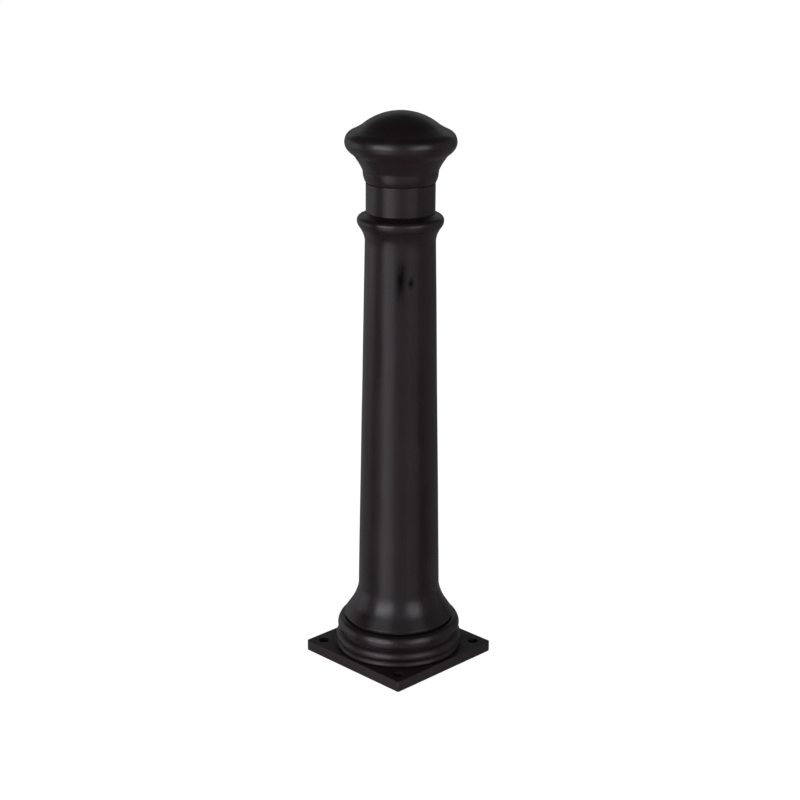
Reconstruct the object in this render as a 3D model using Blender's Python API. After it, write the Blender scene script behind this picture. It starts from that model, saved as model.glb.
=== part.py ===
"""Black ornamental column bollard on a square base plate.

A welded steel core (plate, tube, gussets) stands inside a stack of hollow
mouldings. A stud, nut and clamp plate pull the stack down, and a domed cap
covers them. The origin is the centre of the plate's underside, +Z is up.

Lengths are in millimetres, and MM turns them into metres in the meshes.
Turned pieces are drawn as an outline of (radius, height) points.
"""

import math

import bmesh
import bpy
from mathutils import Matrix, Vector

MM = 0.001
GAP = 0.3                      # clearance left between neighbouring pieces

# Driving dimensions of the whole bollard
TOTAL_HEIGHT = 1000.0
PLATE_SIDE = 240.0
PLATE_THICKNESS = 20.0
PLATE_CORNER_R = 4.0
PLATE_EDGE = 1.2               # chamfer all round
ANCHOR_SPACING = 195.0         # hole centre to hole centre, both ways
ANCHOR_HOLE_R = 9.0
VENT_HOLE_R = 16.0

# Heights of the stacked mouldings
BASE_GASKET = 1.5
BASE_FOOT = PLATE_THICKNESS + GAP + BASE_GASKET + GAP
BASE_SEAT = 76.3               # top face of the three rings
COLUMN_GASKET = 3.4
COLUMN_FOOT = BASE_SEAT + GAP + COLUMN_GASKET + GAP
BELL_TOP = 141.5               # where the straight taper starts
SHAFT_TOP = 778.0              # where the cove under the neck ring starts
COLUMN_TOP = 803.0
RING_TOP = 827.0
NECK_SHOULDER = 878.1
SPIGOT_TOP = 905.0
CAP_GASKET = 1.3
CAP_FOOT = NECK_SHOULDER + GAP + CAP_GASKET + GAP

# Radii of the mouldings
RING_FOOT_R = 114.6
BELL_FOOT_R = 100.2
SHAFT_BOTTOM_R = 73.2
SHAFT_TOP_R = 61.5
NECK_R = 59.9
SPIGOT_R = 53.7
BAND_R = 65.2
RIM_R = 96.0
DOME_R = 105.0                 # radius of the dome's sphere
CAP_WALL = 8.0

# Core tube, 88.9 x 5 circular hollow section
TUBE_R = 44.45
TUBE_WALL = 5.0
TUBE_TOP = 868.0
WELD_LEG = 8.0
TOP_PLATE_R = 40.0
TOP_PLATE_THICKNESS = 10.0
TOP_WELD_LEG = 4.0
CENTRING_RING_THICKNESS = 12.0

# M16 clamp set
STUD_R = 8.0
STUD_BOTTOM = 866.0
STUD_TOP = 942.0
NUT_FLATS = 24.0
NUT_THICKNESS = 13.0
LOCK_NUT_THICKNESS = 8.0
WASHER_R = 15.0
WASHER_THICKNESS = 3.0
CLAMP_PLATE_R = 52.5
CLAMP_PLATE_THICKNESS = 6.0

# Two M8 grub screws through the cap's band
GRUB_R = 3.7
GRUB_HOLE_R = 4.0
GRUB_HEIGHT = 894.5
GRUB_LENGTH = 8.0
GRUB_SOCKET_FLATS = 4.0
GRUB_SOCKET_DEPTH = 4.0
GRUB_ANGLES = (45.0, 225.0)

# Facets round a turned piece
FINE = 40
MEDIUM = 28
COARSE = 20


def clear_scene():
    for obj in list(bpy.data.objects):
        bpy.data.objects.remove(obj, do_unlink=True)


def make_material(name, colour, roughness, metallic):
    material = bpy.data.materials.new(name)
    material.use_nodes = True
    shader = material.node_tree.nodes["Principled BSDF"]
    shader.inputs["Base Color"].default_value = (*colour, 1.0)
    shader.inputs["Roughness"].default_value = roughness
    shader.inputs["Metallic"].default_value = metallic
    return material


def bow(start, end, rise, steps):
    """Points of an arc from start to end, ends included.

    rise is how far the arc's middle stands off its chord. It is positive to
    the left of the way from start to end, which is outwards on the outer side
    of an outline drawn from the top down.
    """
    start, end = Vector(start), Vector(end)
    chord = end - start
    along = chord.normalized()
    left = Vector((-along.y, along.x))
    radius = (chord.length ** 2 / 4 + rise ** 2) / (2 * rise)
    half_angle = 2 * math.atan(2 * rise / chord.length)
    centre = (start + end) / 2 + left * (rise - radius)
    points = []
    for step in range(steps + 1):
        angle = half_angle * (2 * step / steps - 1)
        offset = along * math.sin(angle) + left * math.cos(angle)
        points.append(tuple(centre + offset * radius))
    return points


def dome(radius, centre_height, edge_r, steps):
    """Points of a sphere's outline from its top down to the radius edge_r."""
    edge_angle = math.asin(edge_r / radius)
    points = []
    for step in range(steps + 1):
        angle = edge_angle * step / steps
        points.append((radius * math.sin(angle), centre_height + radius * math.cos(angle)))
    return points


def add_mesh_object(name, bm, material, smooth=True):
    bmesh.ops.recalc_face_normals(bm, faces=bm.faces)
    mesh = bpy.data.meshes.new(name)
    bm.to_mesh(mesh)
    bm.free()
    if smooth:
        mesh.shade_smooth()
        mesh.set_sharp_from_angle(angle=math.radians(35))
    obj = bpy.data.objects.new(name, mesh)
    if material:
        mesh.materials.append(material)
    bpy.context.scene.collection.objects.link(obj)
    return obj


def turned(name, outline, material, facets):
    """Turn an outline about Z. It is a closed loop, or runs from axis to axis."""
    bm = bmesh.new()
    verts = [bm.verts.new((r * MM, 0, z * MM)) for r, z in outline]
    for first, second in zip(verts, verts[1:]):
        bm.edges.new((first, second))
    touches_axis = outline[0][0] == 0 and outline[-1][0] == 0
    if not touches_axis:
        bm.edges.new((verts[-1], verts[0]))
    bmesh.ops.spin(
        bm, geom=bm.verts[:] + bm.edges[:], cent=(0, 0, 0), axis=(0, 0, 1),
        dvec=(0, 0, 0), angle=math.tau, steps=facets, use_merge=True)
    bmesh.ops.remove_doubles(bm, verts=bm.verts, dist=0.00001)
    return add_mesh_object(name, bm, material)


def ring(name, inner_r, outer_r, bottom, top, material, facets):
    """A plain turned ring with square corners."""
    outline = [(outer_r, top), (outer_r, bottom), (inner_r, bottom), (inner_r, top)]
    return turned(name, outline, material, facets)


def prism(name, sides, radius, bottom, top, material=None):
    """An upright prism or cylinder centred on the Z axis."""
    bm = bmesh.new()
    height = (top - bottom) * MM
    bmesh.ops.create_cone(
        bm, cap_ends=True, segments=sides, radius1=radius * MM, radius2=radius * MM, depth=height)
    bmesh.ops.translate(bm, verts=bm.verts, vec=(0, 0, bottom * MM + height / 2))
    return add_mesh_object(name, bm, material)


def cut(obj, cutter):
    """Cut obj with cutter, which stays in the scene as a wire guide."""
    cutter.hide_render = True
    cutter.display_type = "WIRE"
    modifier = obj.modifiers.new(cutter.name, "BOOLEAN")
    modifier.operation = "DIFFERENCE"
    modifier.solver = "EXACT"
    modifier.object = cutter


def build_base_plate(material):
    bm = bmesh.new()
    bmesh.ops.create_cube(bm, size=1.0)
    size = Vector((PLATE_SIDE, PLATE_SIDE, PLATE_THICKNESS)) * MM
    bmesh.ops.scale(bm, verts=bm.verts, vec=size)
    bmesh.ops.translate(bm, verts=bm.verts, vec=(0, 0, size.z / 2))
    corners = [edge for edge in bm.edges if abs(edge.verts[0].co.z - edge.verts[1].co.z) > size.z / 2]
    bmesh.ops.bevel(bm, geom=corners, offset=PLATE_CORNER_R * MM, segments=3, profile=0.5, affect="EDGES")
    rims = [edge for edge in bm.edges if abs(edge.verts[0].co.z - edge.verts[1].co.z) < size.z / 2]
    bmesh.ops.bevel(bm, geom=rims, offset=PLATE_EDGE * MM, segments=1, profile=0.5, affect="EDGES")
    plate = add_mesh_object("base_plate", bm, material)
    overrun = 10.0
    for index in range(4):
        hole = prism(f"anchor_hole_cutter_{index + 1}", COARSE, ANCHOR_HOLE_R, -overrun,
                     PLATE_THICKNESS + overrun)
        side_x = 1 if index in (0, 3) else -1
        side_y = 1 if index in (0, 1) else -1
        hole.location = (side_x * ANCHOR_SPACING / 2 * MM, side_y * ANCHOR_SPACING / 2 * MM, 0)
        cut(plate, hole)
    vent = prism("vent_hole_cutter", COARSE, VENT_HOLE_R, -overrun, PLATE_THICKNESS + overrun)
    cut(plate, vent)
    return plate


def build_core(steel, weld):
    foot = PLATE_THICKNESS + GAP
    ring("core_tube", TUBE_R - TUBE_WALL, TUBE_R, foot, TUBE_TOP, steel, MEDIUM)
    inner = TUBE_R + GAP
    fillet = bow((inner, foot + WELD_LEG), (inner + WELD_LEG, foot), 0.8, 3)
    turned("core_foot_weld", fillet + [(inner, foot)], weld, MEDIUM)

    top_foot = TUBE_TOP + GAP
    ring("core_top_plate", STUD_R + GAP, TOP_PLATE_R, top_foot, top_foot + TOP_PLATE_THICKNESS,
         steel, MEDIUM)
    inner = TOP_PLATE_R + GAP
    fillet = bow((inner, top_foot + TOP_WELD_LEG), (inner + TOP_WELD_LEG, top_foot), 0.4, 3)
    turned("core_top_weld", fillet + [(inner, top_foot)], weld, MEDIUM)

    inner = TUBE_R + GAP
    for name, outer, level in (("lower_centring_ring", 64.7, 150.0), ("upper_centring_ring", 54.7, 750.0)):
        ring(name, inner, outer, level, level + CENTRING_RING_THICKNESS, steel, MEDIUM)


def build_gussets(steel):
    """Four upright ribs between the tube and the plate, with a sniped corner."""
    foot = PLATE_THICKNESS + GAP
    inner = TUBE_R + GAP
    thickness = 8.0
    outline = [
        (inner, foot + WELD_LEG + 2.0),
        (inner + WELD_LEG + 2.0, foot),
        (92.0, foot),
        (92.0, foot + 8.0),
        (inner + 6.0, 70.0),
        (inner, 70.0),
    ]
    for index in range(4):
        bm = bmesh.new()
        verts = [bm.verts.new((r * MM, -thickness / 2 * MM, z * MM)) for r, z in outline]
        face = bm.faces.new(verts)
        extruded = bmesh.ops.extrude_face_region(bm, geom=[face])
        moved = [item for item in extruded["geom"] if isinstance(item, bmesh.types.BMVert)]
        bmesh.ops.translate(bm, verts=moved, vec=(0, thickness * MM, 0))
        gusset = add_mesh_object(f"gusset_{index + 1}", bm, steel, smooth=False)
        gusset.rotation_euler.z = math.radians(90 * index)


def build_base_moulding(material):
    """Three stacked rings, open below, with a spigot that enters the bell."""
    spigot_r = 80.7
    spigot_top = 88.0
    outline = [(spigot_r, spigot_top), (spigot_r, BASE_SEAT)]
    outline += bow((100.2, BASE_SEAT), (111.3, 62.8), 2.6, 6)
    outline += bow((111.3, 62.8), (108.4, 49.6), 1.1, 3)[1:]
    outline += bow((107.2, 48.9), (113.8, 40.4), 0.9, 3)
    outline += bow((113.8, 40.4), (114.6, 35.6), 0.3, 2)[1:]
    outline += bow((114.6, 35.6), (111.0, 31.5), 0.6, 3)[1:]
    outline += bow((109.6, 31.0), (RING_FOOT_R, BASE_FOOT), 1.1, 4)
    outline += [(96.0, BASE_FOOT), (96.0, 52.0), (74.0, 70.0), (74.0, spigot_top)]
    return turned("base_moulding", outline, material, FINE)


def build_column_casing(material):
    """Bell foot, tapered shaft and the cove under the neck ring, one hollow casting."""
    bore_r = 81.0
    top_bore_r = 54.7
    outline = [(top_bore_r, COLUMN_TOP)]
    outline += bow((71.6, COLUMN_TOP), (SHAFT_TOP_R, SHAFT_TOP), -1.9, 5)
    outline += bow((SHAFT_BOTTOM_R, BELL_TOP), (74.6, 130.5), -0.3, 2)
    outline += bow((74.6, 130.5), (83.2, 107.5), -0.7, 3)[1:]
    outline += bow((83.2, 107.5), (89.5, 97.0), -0.2, 1)[1:]
    outline += bow((BELL_FOOT_R - 0.8, COLUMN_FOOT + 1.6), (BELL_FOOT_R - 2.2, COLUMN_FOOT), 0.5, 2)
    outline += [(bore_r, COLUMN_FOOT), (bore_r, 89.0), (76.0, 93.0)]
    outline += [(67.0, 112.0), (65.5, BELL_TOP), (55.0, 776.0)]
    return turned("column_casing", outline, material, FINE)


def build_neck_ring(material):
    """The round neck ring, with a spigot that enters the column casing."""
    spigot_r = 54.3
    bore_r = 50.0
    sleeve_bore_r = 54.3
    outline = [(sleeve_bore_r, RING_TOP), (NECK_R + 0.3, RING_TOP)]
    outline += bow((NECK_R + 0.5, RING_TOP - 0.3), (70.5, 821.3), -0.3, 3)
    outline += bow((70.5, 821.3), (75.0, 812.5), 1.35, 6)[1:]
    outline += bow((75.0, 812.5), (72.0, COLUMN_TOP + GAP + 0.3), 0.7, 3)[1:]
    outline += [(71.6, COLUMN_TOP + GAP), (spigot_r, COLUMN_TOP + GAP), (spigot_r, 793.0)]
    outline += [(bore_r, 793.0), (bore_r, 814.7), (sleeve_bore_r, 814.7)]
    return turned("neck_ring", outline, material, FINE)


def build_neck_sleeve(material):
    """Plain neck with a spigot at each end."""
    foot = RING_TOP + GAP
    lower_spigot_r = 54.0
    bore_r = 48.0
    outline = [
        (SPIGOT_R, SPIGOT_TOP), (SPIGOT_R, NECK_SHOULDER), (NECK_R, NECK_SHOULDER),
        (NECK_R, foot), (lower_spigot_r, foot), (lower_spigot_r, 815.0),
        (bore_r, 815.0), (bore_r, SPIGOT_TOP),
    ]
    return turned("neck_sleeve", outline, material, FINE)


def build_cap(material):
    """Hollow domed head: dome, rim, hollow moulding and band, open below."""
    centre = TOTAL_HEIGHT - DOME_R
    outline = dome(DOME_R, centre, 68.5, 7)
    outline += bow((69.6, 974.1), (84.5, 966.2), -0.3, 2)
    outline += bow((84.5, 966.2), (95.1, 953.0), 1.85, 5)[1:]
    outline += bow((95.1, 953.0), (RIM_R, 948.2), 0.09, 1)[1:]
    outline += bow((RIM_R, 948.2), (89.4, 932.8), 1.75, 4)[1:]
    outline += bow((86.8, 930.2), (77.8, 921.8), -0.5, 3)
    outline += bow((76.6, 919.4), (66.2, 901.6), -0.6, 3)
    outline += [(BAND_R, 899.0), (BAND_R, 897.4)]
    outline += bow((BAND_R - 0.2, 896.0), (60.6, CAP_FOOT), 0.9, 4)
    bore_r = SPIGOT_R + 0.5
    outline += [(bore_r, CAP_FOOT), (bore_r, 907.0)]
    outline += [(66.0, 924.0), (86.0, 941.0), (86.8, 951.0), (81.0, 959.0)]
    outline += reversed(dome(DOME_R - CAP_WALL, centre, 64.0, 5))
    return turned("cap", outline, material, FINE)


def build_gaskets(material):
    ring("base_gasket", 97.0, 109.0, PLATE_THICKNESS + GAP, BASE_FOOT - GAP, material, FINE)
    ring("column_gasket", 81.2, 97.0, BASE_SEAT + GAP, COLUMN_FOOT - GAP, material, FINE)
    ring("cap_gasket", 54.4, 58.8, NECK_SHOULDER + GAP, CAP_FOOT - GAP, material, FINE)


def build_clamp_set(steel, zinc):
    stud = [(0, STUD_TOP), (STUD_R - 1.2, STUD_TOP), (STUD_R, STUD_TOP - 1.5),
            (STUD_R, STUD_BOTTOM), (0, STUD_BOTTOM)]
    turned("clamp_stud", stud, zinc, COARSE)
    level = SPIGOT_TOP + GAP
    ring("clamp_plate", STUD_R + 0.8, CLAMP_PLATE_R, level, level + CLAMP_PLATE_THICKNESS, steel,
         MEDIUM)
    level += CLAMP_PLATE_THICKNESS + GAP
    ring("clamp_washer", STUD_R + 0.6, WASHER_R, level, level + WASHER_THICKNESS, zinc, COARSE)
    level += WASHER_THICKNESS + GAP
    for name, thickness in (("clamp_nut", NUT_THICKNESS), ("lock_nut", LOCK_NUT_THICKNESS)):
        corner_r = NUT_FLATS / 2 / math.cos(math.radians(30))
        nut = prism(name, 6, corner_r, level, level + thickness, zinc)
        bore = prism(f"{name}_bore_cutter", COARSE, STUD_R + GAP, level - 1, level + thickness + 1)
        cut(nut, bore)
        level += thickness + GAP


def radial_prism(name, sides, radius, inner_r, outer_r, angle, parent, material=None):
    """A prism lying along a radius of the cap at the grub screws' height."""
    bm = bmesh.new()
    length = (outer_r - inner_r) * MM
    bmesh.ops.create_cone(
        bm, cap_ends=True, segments=sides, radius1=radius * MM, radius2=radius * MM, depth=length)
    lay_down = Matrix.Rotation(math.radians(90), 4, "Y")
    bmesh.ops.transform(bm, matrix=lay_down, verts=bm.verts)
    middle_r = (inner_r + outer_r) / 2 * MM
    bmesh.ops.translate(bm, verts=bm.verts, vec=(middle_r, 0, GRUB_HEIGHT * MM))
    obj = add_mesh_object(name, bm, material)
    obj.rotation_euler.z = math.radians(angle)
    obj.parent = parent
    return obj


def build_grub_screws(cap, parent, material):
    """Hex-socket screws in the band, each pressing on the neck's spigot."""
    inner_r = SPIGOT_R + GAP
    outer_r = inner_r + GRUB_LENGTH
    for index, angle in enumerate(GRUB_ANGLES, start=1):
        hole = radial_prism(f"grub_hole_cutter_{index}", COARSE, GRUB_HOLE_R, SPIGOT_R - 2.0,
                            BAND_R + 4.0, angle, parent)
        cut(cap, hole)
        screw = radial_prism(f"cap_grub_screw_{index}", COARSE, GRUB_R, inner_r, outer_r, angle,
                             parent, material)
        socket_r = GRUB_SOCKET_FLATS / 2 / math.cos(math.radians(30))
        socket = radial_prism(f"grub_socket_cutter_{index}", 6, socket_r,
                              outer_r - GRUB_SOCKET_DEPTH, outer_r + 1.0, angle, parent)
        cut(screw, socket)


def build():
    clear_scene()
    black_casting = make_material("black_casting", (0.013, 0.011, 0.012), 0.38, 0.0)
    black_plate = make_material("black_plate", (0.014, 0.012, 0.012), 0.5, 0.0)
    galvanised = make_material("galvanised_steel", (0.42, 0.43, 0.44), 0.55, 1.0)
    weld = make_material("weld_metal", (0.33, 0.33, 0.34), 0.6, 1.0)
    zinc = make_material("zinc_plating", (0.62, 0.62, 0.6), 0.35, 1.0)
    stainless = make_material("stainless_steel", (0.5, 0.5, 0.5), 0.3, 1.0)
    rubber = make_material("gasket_rubber", (0.012, 0.012, 0.012), 0.8, 0.0)

    build_base_plate(black_plate)
    build_core(galvanised, weld)
    build_gussets(galvanised)
    build_base_moulding(black_casting)
    build_column_casing(black_casting)
    build_neck_ring(black_casting)
    build_neck_sleeve(black_casting)
    build_gaskets(rubber)
    build_clamp_set(galvanised, zinc)

    cap_lift_axis = bpy.data.objects.new("cap_lift_axis", None)
    bpy.context.scene.collection.objects.link(cap_lift_axis)
    cap = build_cap(black_casting)
    cap.parent = cap_lift_axis
    build_grub_screws(cap, cap_lift_axis, stainless)


build()
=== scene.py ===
"""Looks of the black column bollard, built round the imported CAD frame.

Every turned piece is made again as a fine mesh from its outline, with soft
corners and the slight waviness of a casting. Lengths in outlines are in
millimetres, and MM turns them into metres.
"""

import math

import bpy
from mathutils import Matrix, Vector, noise


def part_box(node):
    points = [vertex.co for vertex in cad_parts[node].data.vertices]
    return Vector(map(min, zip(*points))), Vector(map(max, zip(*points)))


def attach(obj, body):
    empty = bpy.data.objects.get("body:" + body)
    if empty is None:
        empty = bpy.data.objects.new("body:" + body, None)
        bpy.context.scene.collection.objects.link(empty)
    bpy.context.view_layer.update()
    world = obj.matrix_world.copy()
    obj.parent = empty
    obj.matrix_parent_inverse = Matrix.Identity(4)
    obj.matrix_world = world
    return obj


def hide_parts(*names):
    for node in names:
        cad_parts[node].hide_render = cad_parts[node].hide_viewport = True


MM = 0.001

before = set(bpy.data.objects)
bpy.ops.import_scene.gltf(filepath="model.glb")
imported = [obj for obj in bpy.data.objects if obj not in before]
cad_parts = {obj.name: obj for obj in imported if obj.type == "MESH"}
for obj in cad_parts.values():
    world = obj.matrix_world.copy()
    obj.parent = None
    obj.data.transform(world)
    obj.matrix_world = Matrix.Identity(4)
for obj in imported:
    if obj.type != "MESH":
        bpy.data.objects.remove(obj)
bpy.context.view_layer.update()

# ---------------------------------------------------------------- dimensions
# Between neighbouring pieces
GAP = 0.3

# Facets round the castings, and round the small turned pieces
FACETS = 192
SMALL_FACETS = 96

# A casting's waviness: how long it is round the piece and down it, and over what it fades out
WAVE_ROUND = 34.0
WAVE_DOWN = 95.0
WAVE_FADE = 6.0

# The least length that a bend counts as, and how strongly bends show as worn edges and as painted
# shade in corners
SHORTEST_BEND = 0.4
CREASE_GAIN = 6.0

# A corner is rounded over at most this share of the runs beside it
CORNER_SHARE = 0.45


def top_of(node):
    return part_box(node)[1].z / MM


def foot_of(node):
    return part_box(node)[0].z / MM


def radius_of(node):
    low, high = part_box(node)
    return (high.y - low.y) / 2 / MM


# Heights and sizes taken from the CAD
TOTAL_HEIGHT = top_of("cap")
PLATE_SIDE = 2 * radius_of("base_plate")
PLATE_TOP = top_of("base_plate")
BASE_FOOT = foot_of("base_moulding")
COLUMN_FOOT = foot_of("column_casing")
COLUMN_TOP = top_of("column_casing")
RING_TOP = top_of("neck_ring")
SPIGOT_TOP = top_of("neck_sleeve")
CAP_FOOT = foot_of("cap")

# Main heights and radii of the castings' outlines
BASE_SEAT = 76.3
BELL_TOP = 141.5
SHAFT_TOP = 778.0
NECK_SHOULDER = 878.1
NECK_R = 59.9
SPIGOT_R = 53.7
BAND_R = 65.2
RIM_R = 96.0
DOME_R = 105.0
CAP_WALL = 8.0
RING_FOOT_R = 114.6
BELL_FOOT_R = 100.2
SHAFT_BOTTOM_R = 73.2
SHAFT_TOP_R = 61.5
COVE_TOP_R = 71.6

# Holes in the plate
ANCHOR_SPACING = 195.0
ANCHOR_HOLE_R = 9.0
VENT_HOLE_R = 16.0

# Core
TUBE_R = 44.45
TUBE_WALL = 5.0
FOOT_WELD_LEG = 8.0
TOP_WELD_LEG = 4.0

# M16 stud and nuts
STUD_R = 8.0
STUD_PITCH = 2.0
NUT_FLATS = 24.0

# Grub screws: bearings in degrees, and height
GRUB_ANGLES = (45.0, 225.0)
GRUB_HEIGHT = 894.5


# ---------------------------------------------------------------- outlines
def bow(start, end, rise, steps):
    """Arc from start to end, whose middle stands rise off the chord, to the left of the way."""
    start, end = Vector(start), Vector(end)
    chord = end - start
    along = chord.normalized()
    left = Vector((-along.y, along.x))
    radius = (chord.length ** 2 / 4 + rise ** 2) / (2 * rise)
    half_angle = 2 * math.atan(2 * rise / chord.length)
    centre = (start + end) / 2 + left * (rise - radius)
    points = []
    for step in range(steps + 1):
        angle = half_angle * (2 * step / steps - 1)
        offset = along * math.sin(angle) + left * math.cos(angle)
        points.append(tuple(centre + offset * radius))
    return points


def dome(radius, centre_height, edge_r, steps):
    """A sphere's outline from its top down to the radius edge_r."""
    edge_angle = math.asin(edge_r / radius)
    points = []
    for step in range(steps + 1):
        angle = edge_angle * step / steps
        points.append((radius * math.sin(angle), centre_height + radius * math.cos(angle)))
    return points


def line(start, end, steps):
    """Evenly spaced points on a straight run, ends included."""
    start, end = Vector(start), Vector(end)
    return [tuple(start.lerp(end, step / steps)) for step in range(steps + 1)]


def soften(outline, radius, closed=True, steps=3, least_turn=28.0):
    """Round every real corner of an outline by about radius."""
    points = [Vector(p) for p in outline]
    count = len(points)
    soft = []
    for index, corner in enumerate(points):
        at_end = not closed and index in (0, count - 1)
        before = points[index - 1] - corner
        after = points[(index + 1) % count] - corner
        if at_end or before.length < 1e-6 or after.length < 1e-6:
            soft.append(tuple(corner))
            continue
        turn = 180.0 - math.degrees(before.angle(after))
        if turn < least_turn:
            soft.append(tuple(corner))
            continue
        reach = min(radius, before.length * CORNER_SHARE, after.length * CORNER_SHARE)
        first = corner + before.normalized() * reach
        last = corner + after.normalized() * reach
        for step in range(steps + 1):
            t = step / steps
            point = first * (1 - t) ** 2 + corner * 2 * t * (1 - t) + last * t ** 2
            soft.append(tuple(point))
    return soft


# ---------------------------------------------------------------- mesh makers
def new_object(name, verts, faces, material, smooth_angle=40.0):
    """A smooth-shaded object, kept sharp where its faces meet at more than smooth_angle."""
    mesh = bpy.data.meshes.new(name)
    mesh.from_pydata(verts, [], faces)
    mesh.validate()
    mesh.shade_smooth()
    mesh.set_sharp_from_angle(angle=math.radians(smooth_angle))
    mesh.materials.append(material)
    obj = bpy.data.objects.new(name, mesh)
    bpy.context.scene.collection.objects.link(obj)
    return obj


def crease_values(outline, closed):
    """How sharply the outline turns at each point: above 0 on an edge, below 0 in a corner."""
    count = len(outline)
    values = []
    for index in range(count):
        if not closed and index in (0, count - 1):
            values.append(0.0)
            continue
        a, b, c = (Vector(outline[(index + k) % count]) for k in (-1, 0, 1))
        into, out = b - a, c - b
        length = max(into.length + out.length, SHORTEST_BEND)
        turn = math.atan2(into.cross(out), into.dot(out)) if into.length and out.length else 0.0
        values.append(max(-1.0, min(1.0, -turn / length * CREASE_GAIN)))
    return values


def lathe(name, outline, material, facets=FACETS, wave=0.0, wave_range=None, seed=0.0):
    """Turn an outline about Z into a closed mesh.

    The outline runs down the outer side and back up the inner side. It closes
    on itself, or starts and ends on the axis. wave is the height in
    millimetres of the casting's waviness, on the outer side in wave_range.
    """
    closed = outline[0][0] > 0
    creases = crease_values(outline, closed)
    verts, edge_wear_and_corner_shade, starts = [], [], []
    lowest = min(range(len(outline)), key=lambda i: outline[i][1])
    for index, (r, z) in enumerate(outline):
        starts.append(len(verts))
        if r == 0:
            verts.append((0.0, 0.0, z * MM))
            edge_wear_and_corner_shade.append(0.0)
            continue
        wavy = wave > 0 and index <= lowest and wave_range[0] < z < wave_range[1]
        for facet in range(facets):
            angle = math.tau * facet / facets
            radius = r
            if wavy:
                low, high = wave_range
                fade = min(1.0, (z - low) / WAVE_FADE, (high - z) / WAVE_FADE)
                x, y = r * math.cos(angle) / WAVE_ROUND, r * math.sin(angle) / WAVE_ROUND
                radius += wave * fade * noise.noise(Vector((x, y, z / WAVE_DOWN + seed)))
            verts.append((radius * math.cos(angle) * MM, radius * math.sin(angle) * MM, z * MM))
            edge_wear_and_corner_shade.append(creases[index])
    faces = []
    count = len(outline)
    last = count if closed else count - 1
    for index in range(last):
        a, b = starts[index], starts[(index + 1) % count]
        a_pole, b_pole = outline[index][0] == 0, outline[(index + 1) % count][0] == 0
        for facet in range(facets):
            after = (facet + 1) % facets
            if a_pole:
                faces.append((a, b + facet, b + after))
            elif b_pole:
                faces.append((a + facet, b, a + after))
            else:
                faces.append((a + facet, b + facet, b + after, a + after))
    obj = new_object(name, verts, faces, material)
    attribute = obj.data.attributes.new("crease", "FLOAT", "POINT")
    attribute.data.foreach_set("value", edge_wear_and_corner_shade)
    return obj


def bake_modifiers(obj):
    """Replace an object's mesh with what its modifiers make of it."""
    bpy.context.view_layer.update()
    depsgraph = bpy.context.evaluated_depsgraph_get()
    mesh = bpy.data.meshes.new_from_object(obj.evaluated_get(depsgraph))
    obj.modifiers.clear()
    obj.data = mesh
    return obj


def cut(obj, cutters):
    """Cut the cutters out of an object and throw them away."""
    for cutter in cutters:
        modifier = obj.modifiers.new("cut", "BOOLEAN")
        modifier.operation = "DIFFERENCE"
        modifier.solver = "EXACT"
        modifier.object = cutter
    bake_modifiers(obj)
    for cutter in cutters:
        bpy.data.objects.remove(cutter)
    obj.data.set_sharp_from_angle(angle=math.radians(35))
    return obj


def place(obj, body, slot, *nodes):
    """Hand a piece to the frame: its body and the CAD nodes it stands for. The slot argument is
    not used.
    """
    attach(obj, body)
    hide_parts(*nodes)
    return obj


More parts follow.
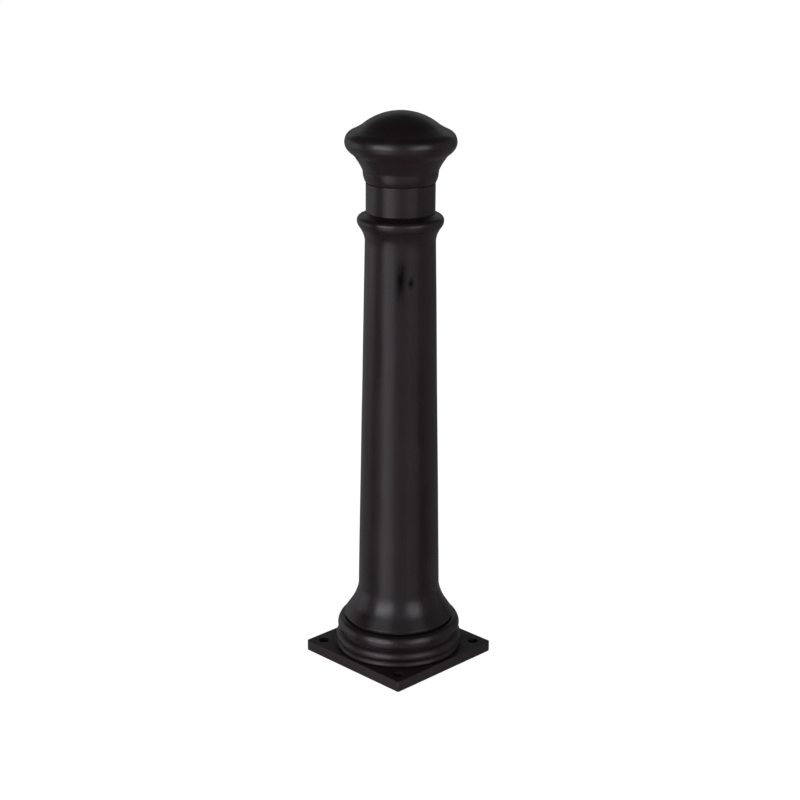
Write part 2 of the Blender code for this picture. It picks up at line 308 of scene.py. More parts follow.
# ---------------------------------------------------------------- materials
class Shader:
    """A node material in the making."""

    def __init__(self, name):
        self.material = bpy.data.materials.new(name)
        self.material.use_nodes = True
        self.nodes = self.material.node_tree.nodes
        self.links = self.material.node_tree.links
        self.surface = self.nodes["Principled BSDF"]
        self.place = self.nodes.new("ShaderNodeTexCoord").outputs["Object"]

    def link(self, source, target):
        self.links.new(source, target)

    def set(self, **values):
        for name, value in values.items():
            self.surface.inputs[name.replace("_", " ")].default_value = value

    def stretched(self, scale):
        mapping = self.nodes.new("ShaderNodeMapping")
        mapping.inputs["Scale"].default_value = scale
        self.link(self.place, mapping.inputs["Vector"])
        return mapping.outputs["Vector"]

    def noise(self, scale, detail=3.0, roughness=0.5, stretch=(1, 1, 1)):
        node = self.nodes.new("ShaderNodeTexNoise")
        node.inputs["Scale"].default_value = scale
        node.inputs["Detail"].default_value = detail
        node.inputs["Roughness"].default_value = roughness
        self.link(self.stretched(stretch), node.inputs["Vector"])
        return node.outputs["Fac"]

    def cells(self, scale):
        node = self.nodes.new("ShaderNodeTexVoronoi")
        node.inputs["Scale"].default_value = scale
        self.link(self.place, node.inputs["Vector"])
        return node.outputs["Color"]

    def ramp(self, source, low, high, start=0.0, end=1.0):
        """source from start to end, spread from low to high."""
        node = self.nodes.new("ShaderNodeMapRange")
        node.inputs["From Min"].default_value = start
        node.inputs["From Max"].default_value = end
        node.inputs["To Min"].default_value = low
        node.inputs["To Max"].default_value = high
        self.link(source, node.inputs["Value"])
        return node.outputs["Result"]

    def maths(self, operation, first, second):
        node = self.nodes.new("ShaderNodeMath")
        node.operation = operation
        for socket, value in zip(node.inputs, (first, second)):
            if isinstance(value, (int, float)):
                socket.default_value = value
            else:
                self.link(value, socket)
        return node.outputs[0]

    def mix(self, factor, first, second):
        """A colour between first and second."""
        node = self.nodes.new("ShaderNodeMix")
        node.data_type = "RGBA"
        self.link(factor, node.inputs[0])
        for socket, value in zip((node.inputs[6], node.inputs[7]), (first, second)):
            if isinstance(value, tuple):
                socket.default_value = (*value, 1.0)
            else:
                self.link(value, socket)
        return node.outputs[2]

    def blot(self, centre, size):
        """1 in the middle of a ragged oval patch, fading to 0 at its edge, half size away."""
        mapping = self.nodes.new("ShaderNodeMapping")
        mapping.vector_type = "TEXTURE"
        mapping.inputs["Location"].default_value = centre
        mapping.inputs["Scale"].default_value = size
        self.link(self.place, mapping.inputs["Vector"])
        length = self.nodes.new("ShaderNodeVectorMath")
        length.operation = "LENGTH"
        self.link(mapping.outputs["Vector"], length.inputs[0])
        ragged = self.ramp(self.noise(90, 3, 0.6, (1, 1, 0.3)), -0.35, 0.35, 0.3, 0.7)
        return self.ramp(self.maths("ADD", length.outputs["Value"], ragged), 1.0, 0.0, 0.0, 1.05)

    def height(self):
        """Height above the ground, in metres."""
        node = self.nodes.new("ShaderNodeSeparateXYZ")
        self.link(self.place, node.inputs["Vector"])
        return node.outputs["Z"]

    def crease(self):
        """The bend value that lathe gave each point: above 0 on an edge, which is rubbed paler as
        wear, below 0 in a corner, which gets painted shade.
        """
        node = self.nodes.new("ShaderNodeAttribute")
        node.attribute_name = "crease"
        return node.outputs["Fac"]

    def bump(self, height, distance, strength, normal=None):
        node = self.nodes.new("ShaderNodeBump")
        node.inputs["Distance"].default_value = distance
        node.inputs["Strength"].default_value = strength
        self.link(height, node.inputs["Height"])
        if normal:
            self.link(normal, node.inputs["Normal"])
        return node.outputs["Normal"]

    def done(self, colour=None, roughness=None, normal=None):
        for name, source in (("Base Color", colour), ("Roughness", roughness), ("Normal", normal)):
            if source:
                self.link(source, self.surface.inputs[name])
        return self.material


NEAR_BLACK = (0.0034, 0.0028, 0.0029)
RUBBED_PAINT = (0.030, 0.027, 0.028)

# Dark patches down the front of the shaft's top, painted near black and without shine: centre and
# half size, in metres
DARK_PATCHES = (
    ((0.0452, -0.0439, 0.719), (0.0088, 0.0088, 0.056)),
    ((0.0554, -0.0300, 0.716), (0.0062, 0.0062, 0.011)),
)


def casting_paint():
    """Satin black paint on a casting: mottled, faintly streaked, with painted shade darkening its
    corners.

    Its edges are rubbed paler and its lowest rings are dulled by splashes. The dark patches on the
    shaft's front are made metallic only to take their shine away.
    """
    shader = Shader("black_casting_paint")
    shader.set(Metallic=0.0, IOR=1.5)
    mottle = shader.ramp(shader.noise(14, 4), 0.0, 1.0, 0.3, 0.7)
    colour = shader.mix(mottle, (0.0120, 0.0068, 0.0080), (0.0188, 0.0107, 0.0126))
    # Painted shade: corners and creases are darkened towards near black; the same mask also makes
    # them rougher, as grime would.
    painted_shade_and_grime = shader.ramp(shader.crease(), 0.8, 0.0, -0.6, -0.15)
    painted_shade_and_grime = shader.maths("MULTIPLY", painted_shade_and_grime, shader.ramp(shader.noise(25, 2), 0.6, 1.0, 0.35, 0.65))
    colour = shader.mix(painted_shade_and_grime, colour, NEAR_BLACK)
    # Dark patches on the shaft's front: painted near black, and made metallic so that they lose
    # their shine.
    run = shader.maths("MAXIMUM", *[shader.blot(centre, size) for centre, size in DARK_PATCHES])
    colour = shader.mix(run, colour, NEAR_BLACK)
    shader.link(shader.ramp(run, 0.0, 0.8), shader.surface.inputs["Metallic"])
    rub = shader.ramp(shader.crease(), 0.0, 0.35, 0.25, 0.9)
    rub = shader.maths("MULTIPLY", rub, shader.ramp(shader.noise(45, 4, 0.7), 0.0, 1.0, 0.5, 0.7))
    colour = shader.mix(rub, colour, RUBBED_PAINT)
    streaks = shader.noise(55, 3, 0.6, (1, 1, 0.05))
    blotches = shader.noise(20, 4, 0.6, (1, 1, 0.35))
    roughness = shader.ramp(streaks, -0.05, 0.07, 0.3, 0.7)
    roughness = shader.maths("ADD", roughness, shader.ramp(blotches, 0.24, 0.34, 0.3, 0.7))
    roughness = shader.maths("ADD", roughness, shader.maths("MULTIPLY", painted_shade_and_grime, 0.3))
    splashed = shader.ramp(shader.height(), 0.10, 0.0, 0.034, 0.062)
    roughness = shader.maths("ADD", roughness, splashed)
    swell = shader.bump(shader.noise(30, 2, 0.4, (1, 1, 0.3)), 0.0012, 0.35)
    peel = shader.bump(shader.noise(420, 2, 0.5), 0.00012, 0.45, swell)
    return shader.done(colour, roughness, peel)


def plate_paint():
    """Black paint on flat plate, duller than the castings and a little dusty."""
    shader = Shader("black_plate_paint")
    shader.set(Metallic=0.0, IOR=1.5)
    mottle = shader.ramp(shader.noise(22, 5, 0.6), 0.0, 1.0, 0.3, 0.7)
    colour = shader.mix(mottle, (0.0175, 0.0096, 0.0114), (0.0290, 0.0165, 0.0190))
    roughness = shader.ramp(shader.noise(36, 4, 0.6), 0.42, 0.6, 0.3, 0.7)
    scale = shader.bump(shader.noise(90, 5, 0.65), 0.0005, 0.4)
    peel = shader.bump(shader.noise(520, 2), 0.00012, 0.5, scale)
    return shader.done(colour, roughness, peel)


def rubber():
    """Matt black rubber with a fine grain."""
    shader = Shader("gasket_rubber")
    shader.set(Metallic=0.0)
    grain = shader.noise(700, 3, 0.6)
    mottle = shader.ramp(shader.noise(50, 3), 0, 1, 0.3, 0.7)
    colour = shader.mix(mottle, (0.006, 0.006, 0.006), (0.014, 0.014, 0.014))
    roughness = shader.ramp(grain, 0.7, 0.9, 0.3, 0.7)
    return shader.done(colour, roughness, shader.bump(grain, 0.00015, 0.5))


def galvanised():
    """Hot-dip galvanised steel: grey with crystal spangle and dull patches."""
    shader = Shader("galvanised_steel")
    shader.set(Metallic=1.0)
    spangle = shader.ramp(shader.cells(130), 0.0, 1.0, 0.0, 1.0)
    colour = shader.mix(spangle, (0.34, 0.35, 0.36), (0.52, 0.53, 0.54))
    patch = shader.ramp(shader.noise(16, 4), 0.0, 0.6, 0.45, 0.65)
    colour = shader.mix(patch, colour, (0.40, 0.41, 0.41))
    roughness = shader.ramp(spangle, 0.42, 0.58)
    roughness = shader.maths("ADD", roughness, shader.ramp(patch, 0.0, 0.12, 0.0, 0.6))
    return shader.done(colour, roughness, shader.bump(shader.noise(240, 3), 0.0002, 0.35))


def weld_metal():
    """Dull weld beads, with paler and darker patches from the heat."""
    shader = Shader("weld_metal")
    shader.set(Metallic=1.0)
    heat = shader.ramp(shader.noise(80, 4), 0.0, 1.0, 0.3, 0.7)
    colour = shader.mix(heat, (0.24, 0.24, 0.25), (0.42, 0.42, 0.43))
    roughness = shader.ramp(shader.noise(200, 3), 0.4, 0.7, 0.3, 0.7)
    return shader.done(colour, roughness, shader.bump(shader.noise(500, 3), 0.0002, 0.5))


def bright_metal(name, dark, light, low, high):
    """Plated or stainless fasteners, with fine machining marks and dull stains."""
    shader = Shader(name)
    shader.set(Metallic=1.0)
    stain = shader.ramp(shader.noise(120, 4), 0.0, 1.0, 0.35, 0.7)
    colour = shader.mix(stain, light, dark)
    marks = shader.noise(900, 2, 0.5, (0.15, 0.15, 1))
    roughness = shader.ramp(shader.maths("ADD", stain, marks), low, high, 0.3, 1.4)
    return shader.done(colour, roughness, shader.bump(marks, 0.00006, 0.5))


# ---------------------------------------------------------------- castings
def base_moulding_piece(material):
    """The three stacked rings and the spigot that enters the bell."""
    spigot_r, spigot_top = 80.7, 88.0
    foot_bore_r, bore_r, step_z = 96.0, 74.0, 52.0
    seat, shoulder, face, belly = (100.2, BASE_SEAT), (108.45, 70.4), (110.45, 66.0), (111.3, 62.8)
    upper_groove, lower_groove = (107.2, 48.9), (109.6, 31.0)
    middle_top, middle_belly = (113.8, 40.4), (114.6, 35.6)
    outline = [(spigot_r, spigot_top), (spigot_r, BASE_SEAT)]
    outline += bow(seat, shoulder, 1.25, 11)
    outline += bow(shoulder, face, 0.1, 5)[1:]
    outline += bow(face, belly, 0.08, 4)[1:]
    outline += bow(belly, (108.4, 49.6), 1.1, 8)[1:]
    outline += bow(upper_groove, middle_top, 0.9, 10)
    outline += bow(middle_top, middle_belly, 0.3, 6)[1:]
    outline += bow(middle_belly, (111.0, 31.5), 0.6, 6)[1:]
    outline += bow(lower_groove, (RING_FOOT_R, BASE_FOOT), 1.1, 14)
    outline += [(foot_bore_r, BASE_FOOT), (foot_bore_r, step_z), (bore_r, 70.0)]
    outline += [(bore_r, spigot_top)]
    outline = soften(outline, 1.0)
    piece = lathe("base_ring_casting", outline, material, wave=0.25, seed=3.0,
                  wave_range=(BASE_FOOT + 1.5, BASE_SEAT - 1.0))
    return place(piece, "post", "black_casting", "base_moulding")


def column_piece(material):
    """Bell foot, tapered shaft and cove in one hollow casting."""
    bore_r, top_bore_r = 81.0, 54.7
    shaft_top, shaft_bottom = (SHAFT_TOP_R, SHAFT_TOP), (SHAFT_BOTTOM_R, BELL_TOP)
    throat, flare, skirt = (74.6, 130.5), (83.2, 107.5), (89.5, 97.0)
    lip, lip_foot = (BELL_FOOT_R - 0.8, COLUMN_FOOT + 1.6), (BELL_FOOT_R - 2.2, COLUMN_FOOT)
    outline = [(top_bore_r, COLUMN_TOP)]
    outline += bow((COVE_TOP_R, COLUMN_TOP), shaft_top, -1.9, 14)
    outline += line(shaft_top, shaft_bottom, 72)[1:-1]
    outline += bow(shaft_bottom, throat, -0.3, 7)
    outline += bow(throat, flare, -0.7, 10)[1:]
    outline += bow(flare, skirt, -0.2, 5)[1:]
    outline += line(skirt, lip, 7)[1:-1]
    outline += bow(lip, lip_foot, 0.5, 4)
    outline += [(bore_r, COLUMN_FOOT), (bore_r, 89.0), (76.0, 93.0)]
    outline += [(67.0, 112.0), (65.5, BELL_TOP), (55.0, 776.0)]
    outline = soften(outline, 0.8)
    piece = lathe("column_casting", outline, material, wave=0.3, seed=11.0,
                  wave_range=(COLUMN_FOOT + 2.0, COLUMN_TOP - 2.0))
    return place(piece, "post", "black_casting", "column_casing")


def neck_ring_piece(material):
    """The neck ring, with the spigot that enters the casing's top."""
    spigot_r, bore_r = 54.3, 50.0
    spigot_foot, seat, foot = 793.0, 814.7, COLUMN_TOP + GAP
    shoulder, belly = (70.5, 821.3), (75.0, 812.5)
    outline = [(spigot_r, RING_TOP), (NECK_R + 0.3, RING_TOP)]
    outline += bow((NECK_R + 0.5, RING_TOP - 0.3), shoulder, -0.3, 10)
    outline += bow(shoulder, belly, 1.35, 14)[1:]
    outline += bow(belly, (COVE_TOP_R + 0.4, foot + 0.3), 0.7, 8)[1:]
    outline += [(COVE_TOP_R, foot), (spigot_r, foot), (spigot_r, spigot_foot)]
    outline += [(bore_r, spigot_foot), (bore_r, seat), (spigot_r, seat)]
    outline = soften(outline, 0.5)
    piece = lathe("neck_ring_casting", outline, material, wave=0.15, seed=21.0,
                  wave_range=(COLUMN_TOP + 1.5, RING_TOP - 1.0))
    return place(piece, "post", "black_casting", "neck_ring")


def neck_sleeve_piece(material):
    """The plain round neck, with a spigot for the cap above and one for the ring below."""
    foot, spigot_foot = RING_TOP + GAP, 815.0
    lower_spigot_r, bore_r = 54.0, 48.0
    outline = [(SPIGOT_R, SPIGOT_TOP), (SPIGOT_R, NECK_SHOULDER), (NECK_R, NECK_SHOULDER)]
    outline += line((NECK_R, NECK_SHOULDER - 1.5), (NECK_R, foot + 1.5), 14)
    outline += [(NECK_R, foot), (lower_spigot_r, foot), (lower_spigot_r, spigot_foot)]
    outline += [(bore_r, spigot_foot), (bore_r, SPIGOT_TOP)]
    outline = soften(outline, 0.7)
    piece = lathe("neck_casting", outline, material, wave=0.2, seed=31.0,
                  wave_range=(foot + 0.5, NECK_SHOULDER - 0.5))
    return place(piece, "post", "black_casting", "neck_sleeve")


def radial_turn(angle):
    """Turns a piece made along +Z so that it lies along a radius at the grub screws' height."""
    lay_down = Matrix.Rotation(math.radians(90), 4, "Y")
    lift = Matrix.Translation((0, 0, GRUB_HEIGHT * MM))
    return Matrix.Rotation(math.radians(angle), 4, "Z") @ lift @ lay_down


def cap_piece(material):
    """Hollow domed head, with two countersunk holes for its grub screws."""
    centre, dome_edge_r, hollow_edge_r = TOTAL_HEIGHT - DOME_R, 68.5, 64.0
    collar, rim_top, rim_belly = (84.5, 966.2), (94.8, 954.6), (RIM_R, 948.2)
    bore_r = SPIGOT_R + 0.5
    outline = dome(DOME_R, centre, dome_edge_r, 26)
    outline += bow((69.6, 974.1), collar, -0.3, 8)
    outline += bow(collar, rim_top, 1.68, 14)[1:]
    outline += bow(rim_top, rim_belly, 0.17, 6)[1:]
    outline += bow(rim_belly, (89.4, 932.8), 1.75, 12)[1:]
    outline += bow((86.8, 930.2), (77.8, 921.8), -0.5, 8)
    outline += bow((76.6, 919.4), (66.2, 901.6), -0.6, 8)
    outline += [(BAND_R, 899.0), (BAND_R, 897.4)]
    outline += bow((BAND_R - 0.2, 896.0), (60.6, CAP_FOOT), 0.9, 12)
    outline += [(bore_r, CAP_FOOT), (bore_r, 907.0)]
    outline += [(66.0, 924.0), (86.0, 941.0), (86.8, 951.0), (81.0, 959.0)]
    outline += reversed(dome(DOME_R - CAP_WALL, centre, hollow_edge_r, 14))
    outline = soften(outline, 0.8, closed=False)
    piece = lathe("cap_casting", outline, material, wave=0.2, seed=41.0,
                  wave_range=(CAP_FOOT + 1.0, 992.0))
    cutters = []
    hole_r, mouth, over = 4.0, BAND_R + 0.2, 3.0
    for index, angle in enumerate(GRUB_ANGLES):
        drill = [(0.0, mouth + over), (hole_r + over + 0.5, mouth + over), (hole_r, mouth - 0.5)]
        drill += [(hole_r, SPIGOT_R - over), (0.0, SPIGOT_R - over)]
        cutter = lathe(f"drill_{index}", drill, material, facets=48)
        cutter.matrix_world = radial_turn(angle)
        cutters.append(cutter)
    cut(piece, cutters)
    return place(piece, "cap", "black_casting", "cap")


# ---------------------------------------------------------------- base plate
def square_loop(half, corner_r, steps=8):
    """Points round a square with rounded corners."""
    points = []
    for quarter in range(4):
        middle = math.radians(45 + 90 * quarter)
        centre = Vector((math.cos(middle), math.sin(middle))) * math.sqrt(2) * (half - corner_r)
        for step in range(steps + 1):
            angle = math.radians(90 * quarter + 90 * step / steps)
            points.append(centre + Vector((math.cos(angle), math.sin(angle))) * corner_r)
    return points


def base_plate_piece(material):
    """The square plate with rounded corners and edges, four anchor holes and the vent hole."""
    half, corner_r, edge_r, edge_steps = PLATE_SIDE / 2, 4.0, 1.4, 5
    levels = []
    for step in range(edge_steps + 1):
        angle = math.radians(90 * step / edge_steps)
        levels.append((edge_r * (1 - math.sin(angle)), edge_r * (1 - math.cos(angle))))
    levels += [(inset, PLATE_TOP - z) for inset, z in reversed(levels)]
    verts, faces = [], []
    loop_length = len(square_loop(half, corner_r))
    for inset, z in levels:
        loop = square_loop(half - inset, corner_r - inset)
        verts += [(point.x * MM, point.y * MM, z * MM) for point in loop]
    for level in range(len(levels) - 1):
        for index in range(loop_length):
            after = (index + 1) % loop_length
            low, high = level * loop_length, (level + 1) * loop_length
            faces.append((low + index, low + after, high + after, high + index))
    faces.append(tuple(reversed(range(loop_length))))
    faces.append(tuple(range(len(verts) - loop_length, len(verts))))
    plate = new_object("ground_plate", verts, faces, material)
    cutters = []
    chamfer, over = 0.9, 4.0
    holes = [(x, y, ANCHOR_HOLE_R) for x in (-1, 1) for y in (-1, 1)] + [(0, 0, VENT_HOLE_R)]
    for x, y, hole_r in holes:
        drill = [(0.0, PLATE_TOP + over), (hole_r + chamfer + over, PLATE_TOP + over)]
        drill += [(hole_r, PLATE_TOP - chamfer), (hole_r, chamfer)]
        drill += [(hole_r + chamfer + over, -over), (0.0, -over)]
        cutter = lathe("drill", drill, material, facets=SMALL_FACETS)
        cutter.location = (x * ANCHOR_SPACING / 2 * MM, y * ANCHOR_SPACING / 2 * MM, 0)
        cutters.append(cutter)
    cut(plate, cutters)
    return place(plate, "post", "black_plate", "base_plate")


# ---------------------------------------------------------------- inner pieces
def plain_ring(name, node, inner_r, material, slot, edge=0.6, facets=SMALL_FACETS):
    """A ring with softened corners, where its CAD node is."""
    outer_r, foot, top = radius_of(node), foot_of(node), top_of(node)
    outline = [(outer_r, top), (outer_r, foot), (inner_r, foot), (inner_r, top)]
    piece = lathe(name, soften(outline, edge), material, facets=facets)
    return place(piece, "post", slot, node)


def weld_bead(name, node, leg, material):
    """A fillet weld with the ripples of its passes. leg is the width of its sides."""
    inner_r, foot = radius_of(node) - leg, foot_of(node)
    facets, steps = 288, 8
    crown, ripple_height = leg * 0.06, leg * 0.035
    ripples, bend, slope = 48, 2.6, 0.7
    verts, faces = [], []
    section = bow((inner_r, foot + leg), (inner_r + leg, foot), crown, steps)
    section += [(inner_r, foot)]
    for facet in range(facets):
        angle = math.tau * facet / facets
        for index, (r, z) in enumerate(section):
            lift = 0.0
            if 0 < index < steps:
                swell = math.sin(math.pi * index / steps)
                lift = ripple_height * swell * math.sin(angle * ripples + bend * swell)
            radius, z = r + lift * slope, z + lift * slope
            verts.append((radius * math.cos(angle) * MM, radius * math.sin(angle) * MM, z * MM))
    count = len(section)
    for facet in range(facets):
        this, after = facet * count, (facet + 1) % facets * count
        for index in range(count):
            nxt = (index + 1) % count
            faces.append((this + index, this + nxt, after + nxt, after + index))
    piece = new_object(name, verts, faces, material)
    return place(piece, "post", "weld_metal", node)


def core_pieces(steel, weld):
    """The tube, the discs and rings on it, its welds, and the CAD's own gussets in steel."""
    slot, ring_bore_r = "galvanised_steel", TUBE_R + GAP
    plain_ring("core_tube_fine", "core_tube", TUBE_R - TUBE_WALL, steel, slot)
    plain_ring("core_top_disc", "core_top_plate", STUD_R + GAP, steel, slot)
    plain_ring("lower_spacer_ring", "lower_centring_ring", ring_bore_r, steel, slot, 1.0)
    plain_ring("upper_spacer_ring", "upper_centring_ring", ring_bore_r, steel, slot, 1.0)
    plain_ring("clamp_disc", "clamp_plate", STUD_R + 0.8, steel, slot, 1.0)
    weld_bead("foot_weld_bead", "core_foot_weld", FOOT_WELD_LEG, weld)
    weld_bead("top_weld_bead", "core_top_weld", TOP_WELD_LEG, weld)
    for index in range(4):
        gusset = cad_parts[f"gusset_{index + 1}"]
        gusset.data.materials.clear()
        gusset.data.materials.append(steel)


def gasket_pieces(material):
    """The three rubber rings, each with its inner radius and edge radius."""
    slot = "gasket_rubber"
    plain_ring("base_gasket_ring", "base_gasket", 97.0, material, slot, 0.8, FACETS)
    plain_ring("column_gasket_ring", "column_gasket", 81.2, material, slot, 1.2, FACETS)
    plain_ring("cap_gasket_ring", "cap_gasket", 54.4, material, slot, 0.5, FACETS)


# ---------------------------------------------------------------- fasteners
def thread_depth(turns):
    """How deep the thread is at this many turns along it: 0 on the crest, 1 in the root."""
    crest, flank = 0.12, 0.68
    off_crest = abs(turns % 1.0 - 0.5) * 2
    return max(0.0, min(1.0, (off_crest - crest) / flank))


def stud_piece(material):
    """The stud, threaded from the top of the core to its own top, with a chamfered end."""
    name, node = "clamp_stud_threaded", "clamp_stud"
    crest_r, pitch, depth, tip = STUD_R, STUD_PITCH, 1.0, 1.5
    foot, thread_foot, top = foot_of(node), 902.0, top_of(node)
    facets, rows_per_turn = 64, 8
    rows = [(foot, crest_r - depth, False), (thread_foot - 0.5, crest_r - depth, False)]
    steps = int((top - thread_foot) / (pitch / rows_per_turn))
    for step in range(steps + 1):
        rows.append((thread_foot + (top - thread_foot) * step / steps, crest_r, True))
    verts, faces = [], []
    for z, r, threaded in rows:
        for facet in range(facets):
            angle = facet / facets
            radius = r
            if threaded:
                radius -= depth * thread_depth(z / pitch - angle)
                radius = min(radius, crest_r - tip + (top - z))
            verts.append((radius * math.cos(math.tau * angle) * MM,
                          radius * math.sin(math.tau * angle) * MM, z * MM))
    for row in range(len(rows) - 1):
        for facet in range(facets):
            after = (facet + 1) % facets
            low, high = row * facets, (row + 1) * facets
            faces.append((low + facet, low + after, high + after, high + facet))
    faces.append(tuple(reversed(range(facets))))
    faces.append(tuple(range(len(verts) - facets, len(verts))))
    stud = new_object(name, verts, faces, material, 50.0)
    return place(stud, "post", "zinc_plating", node)


def hex_radius(flats, angle):
    """Distance from the centre of a hexagon to its side in the direction angle."""
    sector = math.radians(60)
    return flats / 2 / math.cos((angle % sector) - sector / 2)


def hex_nut(name, node, material):
    """A hexagon nut with chamfered corners, countersunk ends and a threaded bore."""
    foot, top = foot_of(node), top_of(node)
    bore_r, pitch, depth, sink = STUD_R + 0.1, STUD_PITCH, 0.5, 0.9
    flat_r, fall = NUT_FLATS / 2 * 0.97, math.tan(math.radians(30))
    facets, rows_per_turn = 96, 6
    thread_rows = int((top - foot - 2 * sink) / (pitch / rows_per_turn))
    columns = []
    for facet in range(facets):
        angle = math.tau * facet / facets
        hexagon = hex_radius(NUT_FLATS, angle)
        drop = (hexagon - flat_r) * fall
        column = [(flat_r, top), (hexagon, top - drop), (hexagon, foot + drop), (flat_r, foot)]
        column += [(bore_r + sink, foot)]
        for row in range(thread_rows + 1):
            z = foot + sink + (top - foot - 2 * sink) * row / thread_rows
            groove = depth * (1 - thread_depth(z / pitch - facet / facets))
            column.append((bore_r + groove, z))
        column += [(bore_r + sink, top)]
        x, y = math.cos(angle) * MM, math.sin(angle) * MM
        columns.append([(r * x, r * y, z * MM) for r, z in column])
    count = len(columns[0])
    verts = [point for column in columns for point in column]
    faces = []
    for facet in range(facets):
        this, after = facet * count, (facet + 1) % facets * count
        for index in range(count):
            nxt = (index + 1) % count
            faces.append((this + index, this + nxt, after + nxt, after + index))
    piece = new_object(name, verts, faces, material, 24.0)
    return place(piece, "post", "zinc_plating", node)


def clamp_pieces(zinc):
    """The stud, washer and two nuts that hold the stack down."""
    stud_piece(zinc)
    plain_ring("clamp_washer_disc", "clamp_washer", STUD_R + 0.6, zinc, "zinc_plating", 0.5)
    hex_nut("clamp_hex_nut", "clamp_nut", zinc)
    hex_nut("lock_hex_nut", "lock_nut", zinc)


def grub_screw(index, angle, material):
    """M8 socket grub screw, threaded along its length, lying along a radius of the cap."""
    tip, head = SPIGOT_R + GAP, SPIGOT_R + GAP + 8.0
    crest_r, pitch, depth = 3.7, 1.25, 0.5
    head_chamfer, tip_chamfer = 0.7, 1.2
    socket_flats, socket_depth, socket_mouth = 4.0, 4.0, 0.15
    drill_point_r, drill_point = 0.4, 0.8
    facets, steps = 72, 40
    verts, faces, rows = [], [], []
    for step in range(steps + 1):
        z = tip + (head - tip) * step / steps
        ring = []
        for facet in range(facets):
            turn = facet / facets
            radius = crest_r - depth * thread_depth(z / pitch - turn)
            radius = min(radius, crest_r - head_chamfer + (head - z))
            radius = min(radius, crest_r - tip_chamfer + (z - tip))
            ring.append((radius, z))
        rows.append(ring)
    hexagon = [hex_radius(socket_flats, math.tau * facet / facets) for facet in range(facets)]
    rows.append([(r + socket_mouth, head) for r in hexagon])
    rows.append([(r, head - 0.2) for r in hexagon])
    rows.append([(r, head - socket_depth) for r in hexagon])
    rows.append([(drill_point_r, head - socket_depth - drill_point)] * facets)
    for ring in rows:
        for facet, (radius, z) in enumerate(ring):
            turn = math.tau * facet / facets
            verts.append((radius * math.cos(turn) * MM, radius * math.sin(turn) * MM, z * MM))
    for row in range(len(rows) - 1):
        for facet in range(facets):
            after = (facet + 1) % facets
            low, high = row * facets, (row + 1) * facets
            faces.append((low + facet, low + after, high + after, high + facet))
    faces.append(tuple(reversed(range(facets))))
    faces.append(tuple(range(len(verts) - facets, len(verts))))
    piece = new_object(f"grub_screw_{index}", verts, faces, material, 35.0)
    piece.data.transform(radial_turn(angle))
    return place(piece, "cap", "stainless_steel", f"cap_grub_screw_{index}")


# ---------------------------------------------------------------- stage
# Metres; the heights are just under the plate's underside
FLOOR_HALF = 24.0
FLOOR_Z = -0.0002
PAINTED_SHADE_GROUND_Z = -0.0001
BACKDROP_RADIUS = 23.5

# Camera and light boxes: bearing of the camera's side, and how far off the boxes stand, in metres
CAMERA_BEARING = -45.0
BOX_DISTANCE = 8.0
BOX_COLOUR = (0.935, 0.945, 1.0)

# name, azimuth, spread, low and high elevation in degrees, radiance
LIGHT_BOXES = (
    ("left_strip", 39, 40, -42, 39, 0.72),
    ("left_core", 42, 16, -42, 2, 0.40),
    ("left_glow", 37, 42, 4, 24, 3.05),
    ("right_strip", -42, 32, -42, 39, 0.25),
    ("right_glow", -40, 34, 4, 26, 2.20),
    ("front_fill", -2, 60, -42, 42, 0.22),
    ("front_glow", -2, 34, 4, 26, 0.50),
    ("upper_front", -2, 120, 27, 42, 0.18),
    ("left_wall", 99, 30, -14, 14, 0.65),
    ("left_wall_far", 126, 24, -14, 14, 0.32),
    ("left_wall_foot", 115, 44, -42, -14, 0.17),
    ("right_wall", -95, 60, -14, 30, 0.13),
    ("right_wall_foot", -112, 40, -42, -14, 0.08),
    ("back_top", 180, 70, 12, 38, 0.19),
    ("back_left", 148, 24, -42, 30, 0.15),
    ("back_right", -150, 30, -42, 30, 0.06),
)


def square_sheet(name, half, height, material):
    """A flat square, seen from above, at a height in metres."""
    verts = [(-half, -half, 0), (half, -half, 0), (half, half, 0), (-half, half, 0)]
    sheet = new_object(name, verts, [(0, 1, 2, 3)], material)
    sheet.location.z = height
    return sheet


def emitter(name, colour, strength):
    """A material that only gives light."""
    material = bpy.data.materials.new(name)
    material.use_nodes = True
    nodes = material.node_tree.nodes
    nodes.clear()
    emission = nodes.new("ShaderNodeEmission")
    emission.inputs["Color"].default_value = (*colour, 1.0)
    emission.inputs["Strength"].default_value = strength
    output = nodes.new("ShaderNodeOutputMaterial")
    material.node_tree.links.new(emission.outputs[0], output.inputs["Surface"])
    return material


def build_floor():
    """A wide pale floor, lit a little from itself so that it stays even."""
    shader = Shader("pale_floor")
    shader.set(Base_Color=(0.3, 0.3, 0.3, 1.0), Roughness=0.9, Emission_Color=(1, 1, 1, 1),
               Emission_Strength=1.0)
    floor = square_sheet("floor", FLOOR_HALF, FLOOR_Z, shader.material)
    floor.visible_glossy = False
    floor.visible_shadow = False


def build_painted_shade_ground():
    """A dark sheet of painted shade for the ground under the plate, which gets no light; it shows
    in the anchor holes.
    """
    shader = Shader("painted_shade_ground")
    shader.set(Base_Color=(0.01, 0.01, 0.01, 1.0), Roughness=1.0)
    half = (PLATE_SIDE / 2 - 4.0) * MM
    square_sheet("painted_shade_ground", half, PAINTED_SHADE_GROUND_Z, shader.material)


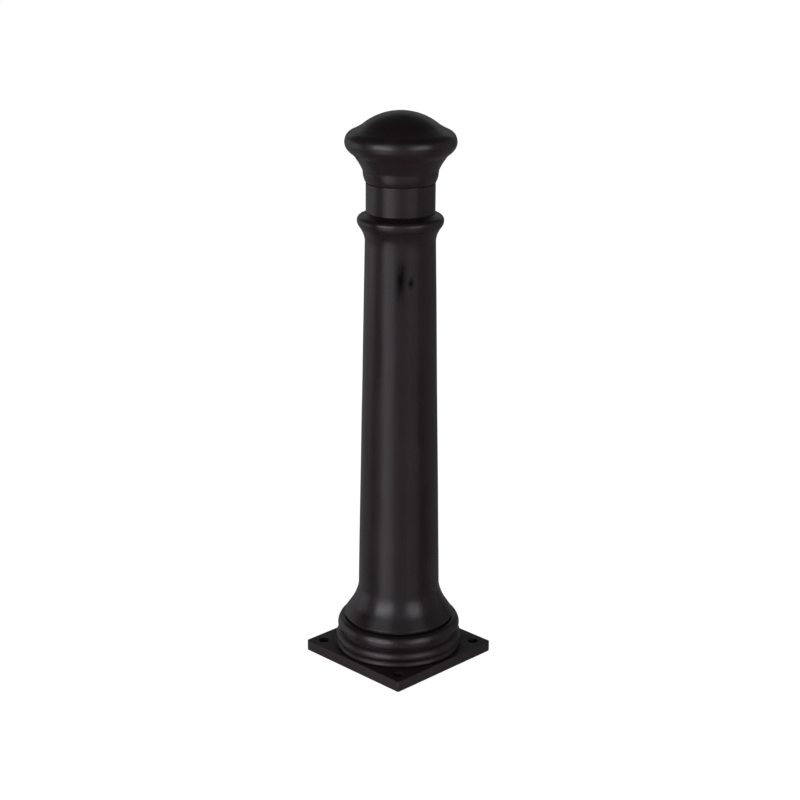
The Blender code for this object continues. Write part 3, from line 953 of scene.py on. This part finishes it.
def build_backdrop():
    """A pale shell far round the stage, which only the camera sees."""
    facets, rows, radius = 48, 12, BACKDROP_RADIUS
    lowest, highest = -3, 90
    verts, faces = [], []
    for row in range(rows + 1):
        rise = math.radians(lowest + (highest - lowest) * row / rows)
        for facet in range(facets):
            turn = math.tau * facet / facets
            verts.append((radius * math.cos(rise) * math.cos(turn),
                          radius * math.cos(rise) * math.sin(turn), radius * math.sin(rise)))
    for row in range(rows):
        for facet in range(facets):
            after = (facet + 1) % facets
            low, high = row * facets, (row + 1) * facets
            faces.append((low + facet, high + facet, high + after, low + after))
    backdrop = new_object("backdrop", verts, faces, emitter("pale_backdrop", (1, 1, 1), 1.05))
    backdrop.visible_diffuse = False
    backdrop.visible_glossy = False
    backdrop.visible_shadow = False


def softbox(name, azimuth, spread, low, high, radiance):
    """An upright light box far off, placed and sized in degrees as seen from the bollard's middle.

    Azimuth is from the camera's side, towards the left. low and high are the
    elevations of its edges. It shows in reflections alone, so it may reach
    below the floor and leaves no hot spot there.
    """
    foot = BOX_DISTANCE * math.tan(math.radians(low))
    head = BOX_DISTANCE * math.tan(math.radians(high))
    data = bpy.data.lights.new(name, "AREA")
    data.shape = "RECTANGLE"
    data.size = 2 * BOX_DISTANCE * math.tan(math.radians(spread / 2))
    data.size_y = head - foot
    data.energy = radiance * data.size * data.size_y * math.pi
    data.color = BOX_COLOUR
    light = bpy.data.objects.new(name, data)
    bearing = math.radians(CAMERA_BEARING - azimuth)
    away = Vector((math.cos(bearing), math.sin(bearing), 0.0))
    height = TOTAL_HEIGHT * MM / 2 + (foot + head) / 2
    light.location = away * BOX_DISTANCE + Vector((0, 0, height))
    light.rotation_mode = "QUATERNION"
    light.rotation_quaternion = (-away).to_track_quat("-Z", "Y")
    light.visible_camera = False
    light.visible_diffuse = False
    bpy.context.scene.collection.objects.link(light)


def build_top_light():
    """A broad light overhead for the matt surfaces and the soft shadow on the floor."""
    data = bpy.data.lights.new("top_light", "AREA")
    data.shape = "DISK"
    data.size = 2.6
    data.energy = 8.0
    light = bpy.data.objects.new("top_light", data)
    light.location = (-0.6, -1.6, 2.6)
    light.rotation_mode = "QUATERNION"
    light.rotation_quaternion = (-light.location).to_track_quat("-Z", "Y")
    light.visible_camera = False
    light.visible_glossy = False
    bpy.context.scene.collection.objects.link(light)


def build_camera():
    """The photograph's view: over one corner of the plate, 18 degrees down."""
    data = bpy.data.cameras.new("camera")
    data.sensor_width = 36.0
    data.lens = 79.35
    data.shift_x = 0.0005
    camera = bpy.data.objects.new("camera", data)
    distance, height, pitch, roll = 2.970, 1.455, 18.033, 0.29
    bearing = math.radians(CAMERA_BEARING)
    camera.location = (distance * math.cos(bearing), distance * math.sin(bearing), height)
    away = Vector((-math.cos(bearing), -math.sin(bearing), -math.tan(math.radians(pitch))))
    turn = away.to_track_quat("-Z", "Y").to_matrix().to_4x4()
    turn = turn @ Matrix.Rotation(math.radians(roll), 4, "Z")
    camera.rotation_mode = "QUATERNION"
    camera.rotation_quaternion = turn.to_quaternion()
    bpy.context.scene.collection.objects.link(camera)
    bpy.context.scene.camera = camera


def build_light():
    """A dim even surround, the top light and the light boxes."""
    world = bpy.data.worlds.new("studio")
    world.use_nodes = True
    background = world.node_tree.nodes["Background"]
    background.inputs["Color"].default_value = (1.0, 1.0, 1.0, 1.0)
    background.inputs["Strength"].default_value = 0.07
    bpy.context.scene.world = world
    bpy.context.scene.view_settings.view_transform = "Standard"
    build_top_light()
    for box in LIGHT_BOXES:
        softbox(*box)


def build():
    build_camera()
    build_light()
    build_floor()
    build_painted_shade_ground()
    build_backdrop()

    castings = casting_paint()
    plate = plate_paint()
    gaskets = rubber()
    steel = galvanised()
    weld = weld_metal()
    zinc = bright_metal("zinc_plating", (0.50, 0.50, 0.47), (0.70, 0.71, 0.70), 0.22, 0.42)
    stainless = bright_metal("stainless_steel", (0.36, 0.36, 0.36), (0.52, 0.52, 0.53), 0.2, 0.38)

    base_plate_piece(plate)
    base_moulding_piece(castings)
    column_piece(castings)
    neck_ring_piece(castings)
    neck_sleeve_piece(castings)
    cap_piece(castings)
    gasket_pieces(gaskets)
    core_pieces(steel, weld)
    clamp_pieces(zinc)
    for index, angle in enumerate(GRUB_ANGLES, start=1):
        grub_screw(index, angle, stainless)


build()
